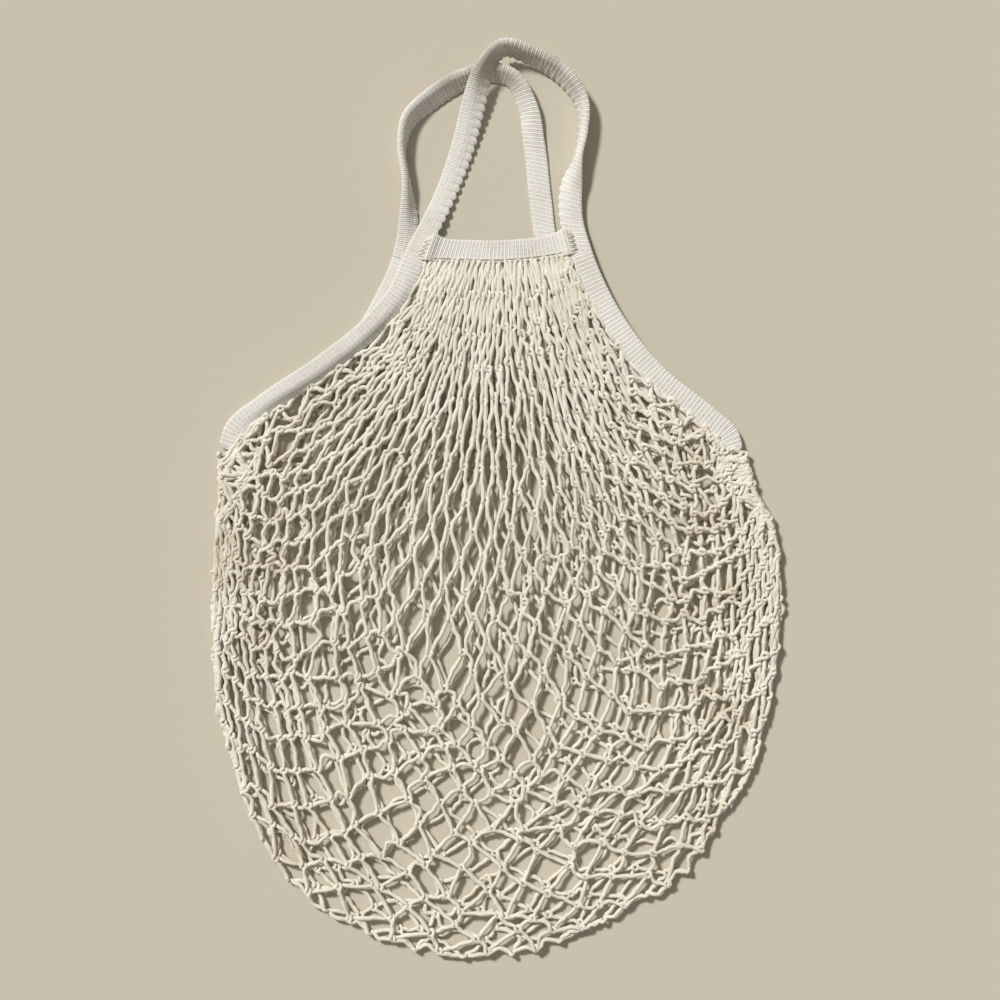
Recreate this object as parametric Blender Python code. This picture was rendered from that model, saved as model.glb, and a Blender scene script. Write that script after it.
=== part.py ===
"""A knitted string bag lying empty on a table, back layer down, handles towards +Y.

The bag is one rectangle of diamond net, folded in half at the bottom.  Its two short edges are
gathered onto a heading tape each, and its two long edges onto a binding tape each, which runs
from the front heading down to the bag's corner, turns over there and runs up the back layer.
The four upper ends of the bindings go on into the two handles.

The net is drawn at twice the real pitch.  Lengths are in millimetres until a mesh is made.
The origin is at the bottom centre of the bag's box, +Z up.
"""

import math

import bmesh
import bpy
import numpy as np
from mathutils import Matrix, Vector

METRES_PER_MM = 0.001

# Driving dimensions
TAPE_THICKNESS = 2.0
STRAND = 3.0            # a net strand's width and thickness
SEAM_GAP = 0.3          # left between pieces that are sewn together
LAYER_GAP = 1.6         # between the back net and the front net
HEADING_WIDTH = 13.6
TAPE_STEP = 7.5         # length of tape between two cross sections
FOLD_STEPS = 6          # sections round the turn of a binding at the bag's corner

MESHES_ACROSS = 10      # net meshes along a heading
ROWS_DOWN = 13          # half rows of net from a heading to the fold, an odd number
BAR_LENGTH = 43.0       # a net bar from knot to knot
FOLD_POINTS = 4         # edges along the fold from one knot to the next
SIDE_STEP = 9.0         # length of an edge of the net along a binding
NARROWEST_CUT = 2.7     # a mesh whose inner radius is smaller stays closed
CROWDING = 2.1          # how much closer the knots on a binding lie towards its lower end
SLACK_FROM = 0.35       # share of the way down the net from which its bars may be slack
RELAX_ROUNDS = 600

BACK_NET_Z = STRAND / 2
FRONT_NET_Z = BACK_NET_Z + STRAND + LAYER_GAP
FRONT_TAPE_LIFT = 5.0   # height of the underside of the front layer's tapes
BACK_TAPE_LIFT = 0.0
SIDES = (-1, 1)         # the bag's left and right, as the sign of x

# One row for each place where a tape bends, from the bag's left corner to its right corner:
# x and y of the tape's middle, the height of its lowest point, its roll about its own length
# (outer edge up) in degrees, and its width.
COLUMNS = ("x", "y", "lift", "roll", "width")
FRONT_TAPE = (
    (-182.4, 37.0, 5.0, 0, 12.6),
    (-178.6, 46.5, 5.0, 0, 12.8),
    (-159.1, 63.2, 5.0, 0, 13.2),
    (-117.6, 91.1, 5.0, 0, 13.4),
    (-80.9, 121.7, 5.0, 0, 13.4),
    (-66.6, 140.0, 5.0, 0, 13.4),
    (-54.6, 168.0, 5.0, 0, 13.2),
    (-45.2, 187.0, 3.6, 0, 12.8),
    (-36.0, 206.3, 1.2, 0, 12.8),
    (-22.8, 242.6, 1.5, 0, 15.8),
    (-14.6, 274.0, 5.5, 16, 16.0),
    (-9.0, 291.0, 7.5, 40, 15.5),
    (3.9, 305.5, 7.0, 58, 15.5),
    (22.5, 301.2, 4.0, 24, 15.5),
    (46.4, 286.5, 1.0, 34, 15.5),
    (57.6, 270.0, 0.0, 60, 15.5),
    (58.6, 250.0, 0.0, 76, 15.0),
    (54.7, 231.0, 0.0, 68, 15.0),
    (50.2, 211.0, 1.4, 22, 14.4),
    (50.6, 190.0, 3.8, 0, 14.0),
    (56.0, 170.7, 5.0, 0, 13.4),
    (75.5, 127.0, 5.0, 0, 13.4),
    (106.1, 86.2, 5.0, 0, 13.4),
    (144.2, 55.1, 5.0, 0, 13.0),
    (157.4, 43.0, 5.0, 0, 12.6),
    (160.6, 34.5, 5.0, 0, 12.4),
)
BACK_TAPE = (
    (-182.4, 37.0, 0.0, 0, 12.6),
    (-178.6, 46.5, 0.0, 0, 12.8),
    (-159.1, 63.2, 0.0, 0, 13.2),
    (-118.6, 90.0, 0.0, 0, 13.4),
    (-91.0, 112.0, 0.0, 0, 13.4),
    (-76.5, 136.0, 0.0, 0, 13.4),
    (-64.8, 163.0, 0.0, 0, 13.0),
    (-60.6, 185.3, 0.0, 20, 12.6),
    (-60.8, 214.0, 0.0, 62, 13.0),
    (-64.4, 242.0, 0.0, 74, 14.0),
    (-60.6, 256.9, 0.0, 50, 14.5),
    (-44.2, 273.1, 0.0, 33, 15.0),
    (-23.7, 285.5, 0.0, 16, 15.0),
    (-4.0, 290.6, 0.0, 12, 14.5),
    (9.6, 287.0, 0.0, 34, 13.5),
    (20.3, 269.0, 0.0, 36, 13.5),
    (25.2, 242.6, 0.0, 8, 13.2),
    (29.6, 204.4, 0.0, 0, 13.6),
    (33.4, 178.0, 0.0, 0, 13.4),
    (53.0, 137.3, 0.0, 0, 13.4),
    (86.0, 92.0, 0.0, 0, 13.4),
    (135.0, 56.5, 0.0, 0, 13.0),
    (155.5, 44.5, 0.0, 0, 12.6),
    (160.6, 34.5, 0.0, 0, 12.4),
)
FRONT_SEAM_Y = 168.0    # where a binding meets a handle
BACK_SEAM_Y = 164.0

# The middle line of each heading: the share of the way from left to right, and y.
FRONT_HEADING = ((0.0, 170.2), (0.25, 169.0), (0.5, 168.7), (0.78, 171.0), (1.0, 174.6))
BACK_HEADING = ((0.0, 165.5), (0.5, 163.0), (1.0, 163.5))

# The fold of the net, from the left corner's tape end to the right one's.
FOLD_OUTLINE = (
    (-187.5, 12.0), (-190.5, -21.0), (-192.5, -80.0), (-189.0, -137.0), (-180.0, -177.0),
    (-162.5, -225.0), (-137.0, -263.0), (-92.0, -292.0), (-45.0, -308.0), (2.0, -309.5),
    (54.0, -295.0), (92.5, -273.0), (128.0, -253.5), (150.5, -218.0), (170.0, -187.0),
    (187.5, -123.0), (192.3, -63.0), (186.5, -15.0), (173.5, 9.0),
)

COTTON_COLOURS = {
    "cotton_net": (0.83, 0.76, 0.62, 1.0),
    "cotton_tape": (0.78, 0.74, 0.64, 1.0),
}


# Curves

def smooth_curve(rows, plan=2):
    """A function of length along a smooth curve through the rows, and that curve's length.

    Length is measured in the first `plan` columns; every column is interpolated with it.
    """
    rows = np.asarray(rows, float)
    steps = np.linalg.norm(np.diff(rows[:, :plan], axis=0), axis=1)
    knots = np.concatenate(([0.0], np.cumsum(steps)))
    slopes = np.gradient(rows, knots, axis=0)

    def at(length):
        length = float(np.clip(length, 0.0, knots[-1]))
        i = min(int(np.searchsorted(knots, length, side="right")) - 1, len(knots) - 2)
        span = knots[i + 1] - knots[i]
        t = (length - knots[i]) / span
        return (
            (2 * t**3 - 3 * t**2 + 1) * rows[i]
            + (t**3 - 2 * t**2 + t) * span * slopes[i]
            + (3 * t**2 - 2 * t**3) * rows[i + 1]
            + (t**3 - t**2) * span * slopes[i + 1]
        )

    return at, knots[-1]


# Tapes

class Tape:
    """A flat tape through the rows of a table, which can be rolled about its own length."""

    def __init__(self, table):
        self.at, self.length = smooth_curve(table)

    def section(self, length):
        """The tape's middle point, the unit vector to its outer edge, its normal, its width."""
        row = dict(zip(COLUMNS, self.at(length)))
        ahead = self.at(length + 0.5) - self.at(length - 0.5)
        along = ahead[:2] / np.linalg.norm(ahead[:2])
        left = np.array([-along[1], along[0], 0.0])
        up = np.array([0.0, 0.0, 1.0])
        roll = math.radians(row["roll"])
        outward = left * math.cos(roll) + up * math.sin(roll)
        normal = up * math.cos(roll) - left * math.sin(roll)
        half_height = (row["width"] * abs(math.sin(roll)) + TAPE_THICKNESS * math.cos(roll)) / 2
        middle = np.array([row["x"], row["y"], max(row["lift"], 0.0) + half_height])
        return middle, outward, normal, row["width"]

    def ring(self, length, face=1.0):
        """The four corners of a cross section, with its face side up, or down for -1."""
        middle, outward, normal, width = self.section(length)
        return ring_corners(middle, outward, normal * face, width)

    def rings(self, start, end, face=1.0):
        count = max(2, round(abs(end - start) / TAPE_STEP) + 1)
        return [self.ring(length, face) for length in np.linspace(start, end, count)]

    def inner_edge(self, start, end, margin=0.0, count=60):
        """Plan points along the tape's inner edge, moved inwards by the margin."""
        points = []
        for length in np.linspace(start, end, count):
            middle, outward, _, width = self.section(length)
            points.append(middle[:2] - outward[:2] * (width / 2 + margin))
        return np.array(points)

    def end(self, side):
        """The length at the tape's left end, for side -1, or its right end, for side 1."""
        return 0.0 if side < 0 else self.length

    def length_at_y(self, y, side):
        """The length at which the tape passes a height y on the left, -1, or the right, 1."""
        lengths = np.linspace(0.0, self.length, 1500)
        heights = np.array([self.at(length)[1] for length in lengths])
        past = np.nonzero(heights > y)[0]
        return lengths[past[0] if side < 0 else past[-1]]


def ring_corners(middle, outward, normal, width):
    across = outward * width / 2
    through = normal * TAPE_THICKNESS / 2
    return np.array([
        middle + across + through,
        middle - across + through,
        middle - across - through,
        middle + across - through,
    ])


def corner_turn(front, back, side):
    """Rings round the turn of a binding from the front layer to the back one at a corner."""
    top, outward, _, width = front.section(front.end(side))
    bottom = back.section(back.end(side))[0]
    radius = (top[2] - bottom[2]) / 2
    centre = (top + bottom) / 2
    beyond = np.cross(outward, (0.0, 0.0, 1.0)) * side
    up = np.array([0.0, 0.0, 1.0])
    rings = []
    for step in range(1, FOLD_STEPS):
        turn = math.pi * step / FOLD_STEPS
        normal = up * math.cos(turn) + beyond * math.sin(turn)
        rings.append(ring_corners(centre + normal * radius, outward, normal, width))
    return rings


def tape_end_points(front, back, side, margin):
    """Plan points just past a binding's turn, at its inner and its outer edge."""
    top, outward, _, width = front.section(front.end(side))
    radius = (top[2] - back.section(back.end(side))[0][2]) / 2
    beyond = np.cross(outward, (0.0, 0.0, 1.0))[:2] * side
    end = top[:2] + beyond * (radius + TAPE_THICKNESS / 2 + margin)
    return end - outward[:2] * (width / 2 + margin), end + outward[:2] * width / 2


# Net

def net_rows(across, down):
    """The knots of a diamond net as (row, place) pairs; odd rows lie half a mesh across."""
    knots = []
    for row in range(down + 1):
        shift = 0.5 * (row % 2)
        knots += [(row, place + shift) for place in range(across + 1 - row % 2)]
    return knots


def relaxed_net(top, left, right, fold):
    """Plan places of a net layer's knots between its four edges, each a smooth function.

    The net is first stretched over the four edges.  Then its bars settle towards their real
    length, firmly where they are too long and in the lower half also where they are slack.
    """
    knots = net_rows(MESHES_ACROSS, ROWS_DOWN)
    number = {knot: i for i, knot in enumerate(knots)}
    bars = np.array([
        (number[knot], number[(knot[0] + 1, knot[1] + side)])
        for knot in knots for side in (-0.5, 0.5) if (knot[0] + 1, knot[1] + side) in number
    ])
    places = []
    held = []
    for row, place in knots:
        a = place / MESHES_ACROSS
        b = row / ROWS_DOWN
        crossed = (
            (1 - a) * (1 - b) * top(0) + a * (1 - b) * top(1) + (1 - a) * b * fold(0) + a * b * fold(1)
        )
        places.append((1 - b) * top(a) + b * fold(a) + (1 - a) * left(b) + a * right(b) - crossed)
        held.append(row in (0, ROWS_DOWN) or place in (0, MESHES_ACROSS))
    places = np.array(places)
    free = np.where(held, 0.0, 1.0)[:, None]
    depth = np.array([row for row, _ in knots]) / ROWS_DOWN
    slack_push = 0.12 * np.clip((depth[bars[:, 0]] - SLACK_FROM) / 0.3, 0.0, 1.0)
    smoothing = 0.25 * np.clip(1.0 - (depth - SLACK_FROM) / 0.4, 0.25, 1.0)[:, None]
    neighbours = np.bincount(bars.ravel(), minlength=len(knots))[:, None]
    for _ in range(RELAX_ROUNDS):
        ends = places[bars]
        reach = ends[:, 1] - ends[:, 0]
        length = np.linalg.norm(reach, axis=1)
        excess = length - BAR_LENGTH
        pull = reach * (excess * np.where(excess > 0, 0.5, slack_push) / length)[:, None]
        moves = np.zeros_like(places)
        sums = np.zeros_like(places)
        np.add.at(moves, bars[:, 0], pull)
        np.add.at(moves, bars[:, 1], -pull)
        np.add.at(sums, bars[:, 0], ends[:, 1])
        np.add.at(sums, bars[:, 1], ends[:, 0])
        places = places + free * (0.5 * moves + smoothing * (sums / neighbours - places))
    return {knot: places[i] for knot, i in number.items()}


def share_of(points):
    """A function of the share, 0 to 1, of the way along a polyline."""
    points = np.asarray(points, float)
    steps = np.linalg.norm(np.diff(points, axis=0), axis=1)
    along = np.concatenate(([0.0], np.cumsum(steps)))

    def at(share):
        length = share * along[-1]
        return np.array([np.interp(length, along, points[:, k]) for k in range(2)])

    return at


def crowded(edge):
    """The same edge, with the knots closer together towards its far end."""
    return lambda share: edge(1.0 - (1.0 - share) ** CROWDING)


def net_layer(mesh, edges, height, fold_vertices, face_up):
    """Adds one layer of the net to a mesh, as a flat sheet of strands with its meshes open.

    Each face is one mesh of the net: a knot above it, one on either side and one below.
    """
    top, left, right, fold = edges
    places = relaxed_net(top, left, right, fold)
    knots = {
        (row, place): mesh.verts.new((*places[(row, place)], height))
        for row, place in places if row < ROWS_DOWN
    }
    for place in np.arange(0.5, MESHES_ACROSS):
        knots[(ROWS_DOWN, place)] = fold_vertices[round(place * FOLD_POINTS)]

    def side_vertices(edge, row):
        """Vertices along a side edge, past one mesh of the net, from the row above to below."""
        plan = np.array([
            edge(share) for share in np.linspace((row - 1) / ROWS_DOWN, (row + 1) / ROWS_DOWN, 40)
        ])
        length = np.linalg.norm(np.diff(plan, axis=0), axis=1).sum()
        count = max(1, round(length / SIDE_STEP))
        between = share_of(plan)
        return [
            mesh.verts.new((*between(k / (count + 1)), height)) for k in range(1, count + 1)
        ]

    faces = []
    for row in range(ROWS_DOWN + 1):
        shift = 0.0 if row % 2 else 0.5
        for place in np.arange(shift, MESHES_ACROSS + 1 - shift):
            loop = [knots[(row - 1, place)]] if row > 0 else []
            if row == ROWS_DOWN:
                first = max(0, round((place - 0.5) * FOLD_POINTS))
                loop += fold_vertices[first:round((place + 0.5) * FOLD_POINTS) + 1]
            else:
                loop += [knots[(row, place - 0.5)]] if place > 0 else side_vertices(left, row)
                loop.append(knots[(row + 1, place)])
                if place < MESHES_ACROSS:
                    loop.append(knots[(row, place + 0.5)])
                else:
                    loop += side_vertices(right, row)[::-1]
            faces.append(mesh.faces.new(loop if face_up else loop[::-1]))
    open_meshes(mesh, faces)


def open_meshes(mesh, faces):
    """Cuts each mesh of the net open, leaving half a strand along each of its sides."""
    mesh.normal_update()
    for face in faces:
        perimeter = sum(edge.calc_length() for edge in face.edges)
        inner_radius = 2 * face.calc_area() / perimeter
        if inner_radius < NARROWEST_CUT:
            continue
        bmesh.ops.inset_individual(mesh, faces=[face], thickness=STRAND / 2, use_even_offset=True)
        bmesh.ops.delete(mesh, geom=[face], context="FACES_ONLY")


# Objects

def material(name):
    made = bpy.data.materials.new(name)
    made.use_nodes = True
    shader = made.node_tree.nodes["Principled BSDF"]
    shader.inputs["Base Color"].default_value = COTTON_COLOURS[name]
    shader.inputs["Roughness"].default_value = 0.9
    shader.inputs["Metallic"].default_value = 0.0
    return made


def add_object(name, mesh, finish):
    """Makes a named object of a mesh in millimetres."""
    bmesh.ops.scale(mesh, vec=(METRES_PER_MM,) * 3, verts=mesh.verts)
    data = bpy.data.meshes.new(name)
    mesh.to_mesh(data)
    mesh.free()
    data.materials.append(finish)
    made = bpy.data.objects.new(name, data)
    bpy.context.scene.collection.objects.link(made)
    return made


def add_band(name, rings, finish):
    """A solid band through four-cornered rings, closed at both ends."""
    mesh = bmesh.new()
    loops = [[mesh.verts.new(corner) for corner in ring] for ring in rings]
    for here, there in zip(loops, loops[1:]):
        for k in range(4):
            mesh.faces.new((here[k], here[k - 1], there[k - 1], there[k]))
    mesh.faces.new(loops[0])
    mesh.faces.new(loops[-1][::-1])
    bmesh.ops.triangulate(mesh, faces=mesh.faces)
    bmesh.ops.recalc_face_normals(mesh, faces=mesh.faces)
    return add_object(name, mesh, finish)


def x_at(edge, y):
    """Where an edge, whose points run downwards, crosses a height y."""
    return np.interp(y, edge[::-1, 1], edge[::-1, 0])


def part_below(edge, y):
    """The part of an edge, whose points run downwards, below a height y."""
    return np.vstack(([x_at(edge, y), y], edge[edge[:, 1] < y]))


class Layer:
    """One layer's side tape, with its edges on the left and on the right side of the bag."""

    def __init__(self, table, heading, seam_y):
        self.tape = Tape(table)
        self.heading = heading
        self.seams = {side: self.tape.length_at_y(seam_y, side) for side in SIDES}
        leg = 1.5 * HEADING_WIDTH  # far enough up the handle's legs to pass the heading's ends
        self.edges = {
            side: self.tape.inner_edge(self.seams[side] - side * leg, self.tape.end(side), SEAM_GAP)
            for side in SIDES
        }

    def heading_line(self, offset, count=25):
        """Plan points along the heading, offset from its middle, from side tape to side tape."""
        height, _ = smooth_curve(self.heading, plan=1)
        points = []
        for share in np.linspace(0.0, 1.0, count):
            y = height(share)[1] + offset
            left, right = (x_at(self.edges[side], y) for side in SIDES)
            points.append(((1 - share) * left + share * right, y))
        return np.array(points)

    def heading_rings(self, lift):
        upper = self.heading_line(HEADING_WIDTH / 2)
        lower = self.heading_line(-HEADING_WIDTH / 2)
        low, high = lift, lift + TAPE_THICKNESS
        return [((*a, high), (*b, high), (*b, low), (*a, low)) for a, b in zip(upper, lower)]

    def handle_rings(self):
        start, end = (self.seams[side] - side * SEAM_GAP / 2 for side in SIDES)
        return self.tape.rings(start, end)

    def binding_rings(self, side, face):
        """Rings of a binding from its seam with the handle down to the bag's corner."""
        return self.tape.rings(self.seams[side] + side * SEAM_GAP / 2, self.tape.end(side), face)

    def net_edges(self, fold_points):
        """The four edges of this layer's net, each as a function of the share along it."""
        top = self.heading_line(-HEADING_WIDTH / 2 - SEAM_GAP)
        left, right = (
            np.vstack((part_below(self.edges[side], top[end][1]), fold_points[end]))
            for side, end in ((-1, 0), (1, -1))
        )
        return share_of(top), crowded(share_of(left)), crowded(share_of(right)), share_of(fold_points)


def fold_line(front, back):
    """Plan points along the net's fold, from one binding's turn to the other's."""
    margin = SEAM_GAP + STRAND / 2
    left_inner, left_outer = tape_end_points(front.tape, back.tape, -1, margin)
    right_inner, right_outer = tape_end_points(front.tape, back.tape, 1, margin)
    curve, length = smooth_curve(np.vstack((left_outer, FOLD_OUTLINE, right_outer)))
    outline = [curve(along) for along in np.linspace(0.0, length, 200)]
    return np.vstack((left_inner, outline, right_inner))


def thicken(mesh, fold_offsets):
    """Makes a sheet solid: its vertices move outwards, and a reversed copy moves inwards.

    A vertex on the fold moves by its own offset, any other one straight up or down.
    """
    offsets = {
        vertex: fold_offsets.get(vertex, Vector((0.0, 0.0, math.copysign(STRAND / 2, vertex.normal.z))))
        for vertex in mesh.verts
    }
    rim = [edge.link_loops[0] for edge in mesh.edges if edge.is_boundary]
    rim = [(loop.vert, loop.link_loop_next.vert) for loop in rim]
    faces = [tuple(face.verts) for face in mesh.faces]
    inner = {vertex: mesh.verts.new(vertex.co - offset) for vertex, offset in offsets.items()}
    for face in faces:
        mesh.faces.new([inner[vertex] for vertex in reversed(face)])
    for a, b in rim:
        mesh.faces.new((b, a, inner[a], inner[b]))
    for vertex, offset in offsets.items():
        vertex.co += offset


def add_net(front, back, finish):
    """The net as one open-topped pouch of strands, with its fold round the bag's outline."""
    line = fold_line(front, back)
    fold = share_of(line)
    count = MESHES_ACROSS * FOLD_POINTS
    plan = np.array([fold(j / count) for j in range(count + 1)])
    along = np.gradient(plan, axis=0)
    along /= np.linalg.norm(along, axis=1)[:, None]
    mesh = bmesh.new()
    upper = [mesh.verts.new((x, y, FRONT_NET_Z)) for x, y in plan]
    lower = [mesh.verts.new((x, y, BACK_NET_Z)) for x, y in plan]
    fold_offsets = {}
    for j, (dx, dy) in enumerate(along):
        fold_offsets[upper[j]] = Vector((dy, -dx, 1.0)) * STRAND / 2
        fold_offsets[lower[j]] = Vector((dy, -dx, -1.0)) * STRAND / 2
    for j in range(count):
        mesh.faces.new((upper[j], lower[j], lower[j + 1], upper[j + 1]))
    net_layer(mesh, front.net_edges(line), FRONT_NET_Z, upper, face_up=True)
    net_layer(mesh, back.net_edges(line), BACK_NET_Z, lower, face_up=False)
    mesh.normal_update()
    thicken(mesh, fold_offsets)
    add_object("net_pouch", mesh, finish)


def centre_over_origin(pieces):
    """Moves the meshes together, so that the bag's box stands on the origin's middle."""
    corners = np.array([vertex.co for piece in pieces for vertex in piece.data.vertices])
    low, high = corners.min(axis=0), corners.max(axis=0)
    shift = Matrix.Translation((-(low[0] + high[0]) / 2, -(low[1] + high[1]) / 2, -low[2]))
    for piece in pieces:
        piece.data.transform(shift)


def main():
    for old in list(bpy.data.objects):
        bpy.data.objects.remove(old, do_unlink=True)
    net_cotton = material("cotton_net")
    tape_cotton = material("cotton_tape")
    front = Layer(FRONT_TAPE, FRONT_HEADING, FRONT_SEAM_Y)
    back = Layer(BACK_TAPE, BACK_HEADING, BACK_SEAM_Y)
    add_net(front, back, net_cotton)
    add_band("heading_front", front.heading_rings(FRONT_TAPE_LIFT), tape_cotton)
    add_band("heading_back", back.heading_rings(BACK_TAPE_LIFT), tape_cotton)
    add_band("handle_front", front.handle_rings(), tape_cotton)
    add_band("handle_back", back.handle_rings(), tape_cotton)
    for name, side in zip(("binding_left", "binding_right"), SIDES):
        down = front.binding_rings(side, face=1.0)
        up = back.binding_rings(side, face=-1.0)[::-1]
        add_band(name, down + corner_turn(front.tape, back.tape, side) + up, tape_cotton)
    centre_over_origin(bpy.context.scene.objects)


main()
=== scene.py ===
"""The looks of a knitted string bag that lies empty on a table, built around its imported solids.

The net is two layers of cotton yarn.  Each course of a layer is one yarn that zigzags from side
to side and is looped through the courses above and below it.  The tapes are the bag's headings,
side bindings and handles.  The tables are in millimetres, from near the middle of the place that
the bag takes up on the table.  Everything else is in metres from there, and each finished piece
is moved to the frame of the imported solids.
"""

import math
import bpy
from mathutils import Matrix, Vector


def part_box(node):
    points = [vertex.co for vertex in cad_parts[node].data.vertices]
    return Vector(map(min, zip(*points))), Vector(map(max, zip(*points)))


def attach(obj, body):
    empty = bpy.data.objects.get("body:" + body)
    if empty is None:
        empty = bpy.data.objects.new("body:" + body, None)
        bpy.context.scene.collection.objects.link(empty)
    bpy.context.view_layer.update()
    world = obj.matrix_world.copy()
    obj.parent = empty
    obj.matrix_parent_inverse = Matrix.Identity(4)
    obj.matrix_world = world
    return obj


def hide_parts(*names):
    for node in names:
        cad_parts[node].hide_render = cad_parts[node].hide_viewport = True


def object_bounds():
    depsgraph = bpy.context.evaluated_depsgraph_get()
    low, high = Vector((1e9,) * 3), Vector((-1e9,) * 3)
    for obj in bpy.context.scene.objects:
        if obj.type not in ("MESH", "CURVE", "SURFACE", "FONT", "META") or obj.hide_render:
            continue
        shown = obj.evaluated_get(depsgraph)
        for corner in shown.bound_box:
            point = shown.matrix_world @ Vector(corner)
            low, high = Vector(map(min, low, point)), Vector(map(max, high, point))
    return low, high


bl_info = {
    "name": "Knitted string bag",
    "version": (1, 0, 0),
    "blender": (4, 5, 0),
    "location": "3D View > Sidebar > String bag",
    "description": "Builds the yarns, tapes and stitches of an empty knitted string bag",
    "category": "Add Mesh",
}

import bmesh
import bpy
import numpy as np
from mathutils import Matrix, Vector

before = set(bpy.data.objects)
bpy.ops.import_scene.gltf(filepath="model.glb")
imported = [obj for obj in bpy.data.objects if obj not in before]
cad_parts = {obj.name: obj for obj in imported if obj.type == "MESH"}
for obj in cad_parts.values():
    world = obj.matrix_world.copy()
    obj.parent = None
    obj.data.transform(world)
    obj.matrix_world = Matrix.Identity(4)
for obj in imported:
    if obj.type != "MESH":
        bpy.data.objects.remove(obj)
CAD_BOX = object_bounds()

MM = 0.001
UP = np.array([0.0, 0.0, 1.0])
SIDES = (-1, 1)  # the bag's left and right, as the sign of x
SIDE_NAMES = {-1: "left", 1: "right"}
SOLID_STRAND = 3.0 * MM  # the width of the strands of the net's solid

# One row for each place where a tape bends, from the bag's left corner to its right corner:
# x and y of the tape's middle, the height of its lowest point, its roll about its own length
# (outer edge up) in degrees, its width, how far its outer rim turns back over, in degrees, and
# the rim's share of the width.
COLUMNS = ("x", "y", "lift", "roll", "width", "curl", "rim")
FRONT_TAPE = (
    (-182.4, 37.0, 5.0, 0, 11.4, 0, 0.5),
    (-178.6, 46.5, 5.0, 4, 12.8, 4, 0.5),
    (-159.1, 63.2, 4.8, 36, 14.4, 36, 0.5),
    (-117.6, 91.1, 4.4, 50, 15.8, 50, 0.55),
    (-80.9, 121.7, 4.4, 48, 15.8, 48, 0.55),
    (-66.6, 140.0, 4.6, 28, 14.4, 28, 0.6),
    (-54.6, 168.0, 5.0, 2, 13.2, 2, 0.5),
    (-45.2, 187.0, 3.6, 3, 12.8, 4, 0.5),
    (-36.0, 206.3, 1.2, 6, 12.8, 8, 0.5),
    (-22.8, 242.6, 1.5, 14, 14.4, 18, 0.5),
    (-14.6, 274.0, 5.5, 22, 15.0, 26, 0.34),
    (-9.0, 291.0, 7.5, 48, 15.2, 52, 0.18),
    (3.9, 305.5, 5.5, 68, 17.0, 71, 0.15),
    (22.5, 301.2, 2.6, 67, 18.0, 71, 0.15),
    (46.4, 286.5, 1.0, 66, 18.0, 70, 0.15),
    (57.6, 270.0, 0.0, 70, 15.0, 74, 0.18),
    (58.4, 250.0, 0.0, 82, 14.0, 90, 0.2),
    (54.5, 231.0, 0.0, 80, 14.0, 88, 0.2),
    (50.2, 211.0, 1.4, 28, 14.4, 30, 0.4),
    (50.6, 190.0, 3.8, 4, 14.0, 6, 0.5),
    (56.0, 170.7, 5.0, 4, 13.4, 4, 0.5),
    (75.5, 127.0, 5.0, 16, 13.6, 16, 0.5),
    (106.1, 86.2, 4.8, 22, 13.8, 22, 0.5),
    (144.2, 55.1, 5.0, 10, 13.2, 10, 0.5),
    (157.4, 43.0, 5.0, 2, 12.6, 2, 0.5),
    (160.6, 34.5, 5.0, 0, 11.2, 0, 0.5),
)
BACK_TAPE = (
    (-182.4, 37.0, 0.0, 0, 11.4, 0, 0.5),
    (-178.6, 46.5, 0.0, 0, 12.8, 0, 0.5),
    (-159.1, 63.2, 0.0, 0, 13.2, 0, 0.5),
    (-118.6, 90.0, 0.0, 0, 13.4, 0, 0.5),
    (-91.0, 112.0, 0.0, 0, 13.4, 0, 0.5),
    (-76.5, 136.0, 0.0, 0, 13.4, 0, 0.5),
    (-64.8, 163.0, 0.0, 0, 13.0, 0, 0.5),
    (-60.6, 185.3, 0.0, 26, 12.8, 30, 0.4),
    (-61.4, 214.0, 0.0, 80, 13.0, 88, 0.18),
    (-64.6, 242.0, 0.0, 82, 13.5, 90, 0.18),
    (-60.6, 256.9, 0.0, 62, 14.8, 66, 0.16),
    (-44.2, 273.1, 0.0, 44, 14.8, 48, 0.16),
    (-23.7, 285.5, 0.0, 43, 14.6, 47, 0.16),
    (-4.0, 290.6, 0.0, 46, 14.0, 50, 0.16),
    (9.6, 287.0, 0.0, 50, 13.5, 54, 0.24),
    (20.3, 269.0, 0.0, 42, 13.5, 48, 0.34),
    (25.2, 242.6, 0.0, 16, 13.2, 20, 0.5),
    (29.6, 204.4, 0.0, 0, 13.6, 0, 0.5),
    (33.4, 178.0, 0.0, 0, 13.4, 0, 0.5),
    (53.0, 137.3, 0.0, 0, 13.4, 0, 0.5),
    (86.0, 92.0, 0.0, 0, 13.4, 0, 0.5),
    (135.0, 56.5, 0.0, 0, 13.0, 0, 0.5),
    (155.5, 44.5, 0.0, 0, 12.6, 0, 0.5),
    (160.6, 34.5, 0.0, 0, 11.2, 0, 0.5),
)
FRONT_SEAM_Y = 168.0  # where a binding meets a handle
BACK_SEAM_Y = 164.0

# The middle line of each heading: the share of the way from left to right, and y.
FRONT_HEADING = ((0.0, 170.2), (0.25, 169.0), (0.5, 168.7), (0.78, 171.0), (1.0, 174.6))
BACK_HEADING = ((0.0, 165.5), (0.5, 163.0), (1.0, 163.5))

# The fold of the net, from the left corner's tape end to the right one's.
FOLD_OUTLINE = (
    (-187.5, 12.0), (-190.5, -21.0), (-192.5, -80.0), (-189.0, -137.0), (-180.0, -177.0),
    (-162.5, -225.0), (-137.0, -263.0), (-92.0, -292.0), (-45.0, -308.0), (2.0, -309.5),
    (54.0, -295.0), (92.5, -273.0), (128.0, -253.5), (150.5, -218.0), (170.0, -187.0),
    (187.5, -123.0), (192.3, -63.0), (186.5, -15.0), (173.5, 9.0),
)


def in_metres(rows, kept=()):
    """A table's rows in metres, with the columns that are no lengths kept as they are."""
    scale = np.full(len(rows[0]), MM)
    for column in kept:
        scale[column] = 1.0
    return np.array(rows, float) * scale


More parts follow.
